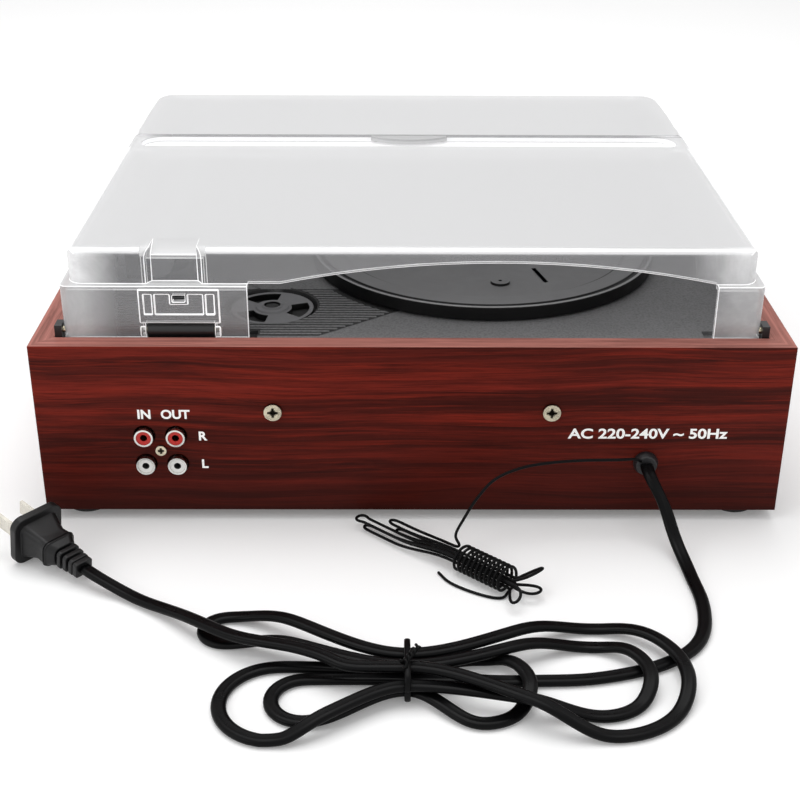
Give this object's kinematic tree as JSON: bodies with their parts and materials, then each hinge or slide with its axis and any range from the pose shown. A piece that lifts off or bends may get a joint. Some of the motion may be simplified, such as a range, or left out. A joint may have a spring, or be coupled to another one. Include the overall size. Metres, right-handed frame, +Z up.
{
  "type": "record player",
  "caption": "Record player in a dark red wooden box with a hinged clear lid, belt-driven platter, tonearm, radio front, rear sockets and a tied mains lead.",
  "frame": {"origin": "middle of the object's footprint, leads left out, on the surface that the feet stand on", "axes": "+X to the player's right seen from the front, +Y to the rear, +Z up"},
  "size_m": [0.3463, 0.4855, 0.125],
  "materials": {
    "cherry_wood": "varnished",
    "plywood": "plain",
    "deck_plastic": "fine texture",
    "rubber": "matte",
    "screw_steel": "yellow zinc plated",
    "black_plastic": "satin",
    "nickel": "plated",
    "red_plastic": "gloss",
    "white_plastic": "gloss",
    "scale_card": "printed",
    "clear_plastic": "clear, lightly frosted",
    "speaker_steel": "painted",
    "paper": "matte",
    "circuit_board": "solder mask",
    "motor_metal": "plain",
    "spindle_steel": "polished",
    "brass": "turned",
    "platter_plastic": "satin",
    "arm_plastic": "silver",
    "arm_dark": "satin",
    "cartridge_plastic": "gloss",
    "lead_sheath": "satin"
  },
  "bodies": {
    "cabinet": {"rear_panel": "cherry_wood", "front_panel": "cherry_wood", "left_panel": "cherry_wood", "right_panel": "cherry_wood", "bottom_panel": "plywood", "cleats": "plywood", "deck_plate": "deck_plastic", "feet": "rubber", "screws": "screw_steel", "jack_board": "black_plastic", "jack_shells": "nickel", "red_jack_inserts": "red_plastic", "white_jack_inserts": "white_plastic", "cord_gland": "black_plastic", "control_panel": "black_plastic", "dial_scale": "scale_card", "dial_window": "clear_plastic", "power_lamp": "red_plastic", "headphone_socket": "nickel", "speaker_grilles": "black_plastic", "speaker_frames": "speaker_steel", "speaker_cones": "paper", "main_board": "circuit_board", "transformer": "speaker_steel", "volume_pot": "motor_metal", "function_switch": "black_plastic", "tuning_capacitor": "white_plastic", "motor": "motor_metal", "drive_belt": "rubber", "spindle": "spindle_steel", "thrust_washer": "white_plastic", "arm_base": "deck_plastic", "arm_rest": "deck_plastic", "hinge_block": "black_plastic", "pivot_brackets": "black_plastic", "hinge_pins": "screw_steel", "mains_lead": "lead_sheath", "mains_hank": "lead_sheath", "hank_tie": "lead_sheath", "plug_lead": "lead_sheath", "plug": "lead_sheath", "plug_blades": "nickel", "aerial_wire": "lead_sheath", "aerial_hank": "lead_sheath"},
    "lid": {"lid_cover": "clear_plastic"},
    "turntable": {"platter": "platter_plastic"},
    "pulley": {"motor_pulley": "brass"},
    "arm_swivel": {"arm_yoke": "arm_dark"},
    "arm": {"tonearm": "arm_plastic", "cartridge": "cartridge_plastic"},
    "cue": {"cue_lever": "arm_plastic"},
    "lifter": {"lift_bar": "motor_metal"},
    "clip": {"arm_clip": "arm_dark"},
    "speed": {"speed_lever": "arm_plastic"},
    "autostop": {"autostop_switch": "arm_plastic"},
    "volume": {"volume_knob": "arm_plastic"},
    "function": {"function_knob": "arm_plastic"},
    "tuning": {"tuning_knob": "arm_plastic"},
    "pointer": {"dial_pointer": "red_plastic"},
    "adapter": {"single_adapter": "platter_plastic"}
  },
  "joints": [
    {"name": "lid_hinge", "type": "hinge", "parent": "cabinet", "child": "lid", "pos_m": [0, 0.1487, 0.088], "axis": [-1, 0, 0], "range_deg": [0, 60]},
    {"name": "platter_spin", "type": "hinge", "parent": "cabinet", "child": "turntable", "pos_m": [-0.036, 0.0467, 0.0912], "axis": [0, 0, -1], "continuous": true},
    {"name": "pulley_spin", "type": "hinge", "parent": "cabinet", "child": "pulley", "pos_m": [-0.09334, 0.00655, 0.0912], "axis": [0, 0, -1], "continuous": true},
    {"name": "arm_swing", "type": "hinge", "parent": "cabinet", "child": "arm_swivel", "pos_m": [0.116, 0.0877, 0.104], "axis": [0, 0, -1], "range_deg": [0, 56]},
    {"name": "cue_turn", "type": "hinge", "parent": "cabinet", "child": "cue", "pos_m": [0.133, 0.0757, 0.093], "axis": [-1, 0, 0], "range_deg": [0, 35]},
    {"name": "arm_lift", "type": "hinge", "parent": "arm_swivel", "child": "arm", "pos_m": [0.116, 0.0877, 0.104], "axis": [-1, 0, 0], "range_deg": [0, 3]},
    {"name": "bar_lift", "type": "slide", "parent": "cabinet", "child": "lifter", "axis": [0, 0, 1], "range_m": [0, 0.00157]},
    {"name": "clip_turn", "type": "hinge", "parent": "cabinet", "child": "clip", "pos_m": [0.1225, 0.0217, 0.103], "axis": [0, -1, 0], "range_deg": [0, 100]},
    {"name": "speed_slide", "type": "slide", "parent": "cabinet", "child": "speed", "axis": [1, 0, 0], "range_m": [0, 0.016]},
    {"name": "autostop_slide", "type": "slide", "parent": "cabinet", "child": "autostop", "axis": [1, 0, 0], "range_m": [0, 0.006]},
    {"name": "volume_turn", "type": "hinge", "parent": "cabinet", "child": "volume", "pos_m": [-0.036, -0.1543, 0.0285], "axis": [0, 1, 0], "range_deg": [0, 280]},
    {"name": "function_turn", "type": "hinge", "parent": "cabinet", "child": "function", "pos_m": [0, -0.1543, 0.0285], "axis": [0, 1, 0], "range_deg": [0, 90]},
    {"name": "tuning_turn", "type": "hinge", "parent": "cabinet", "child": "tuning", "pos_m": [0.036, -0.1543, 0.0285], "axis": [0, 1, 0], "range_deg": [0, 540]},
    {"name": "pointer_slide", "type": "slide", "parent": "cabinet", "child": "pointer", "axis": [1, 0, 0], "range_m": [0, 0.096]},
    {"name": "adapter_lift", "type": "slide", "parent": "cabinet", "child": "adapter", "axis": [0, 0, 1], "range_m": [0, 0.03]}
  ],
  "couplings": [
    {"joint": "pulley_spin", "follows": "platter_spin", "ratio": 11.2},
    {"joint": "cue_turn", "follows": "arm_lift", "ratio": 11.667},
    {"joint": "bar_lift", "follows": "arm_lift", "m_per_rad": 0.02998},
    {"joint": "pointer_slide", "follows": "tuning_turn", "m_per_rad": 0.01018}
  ]
}
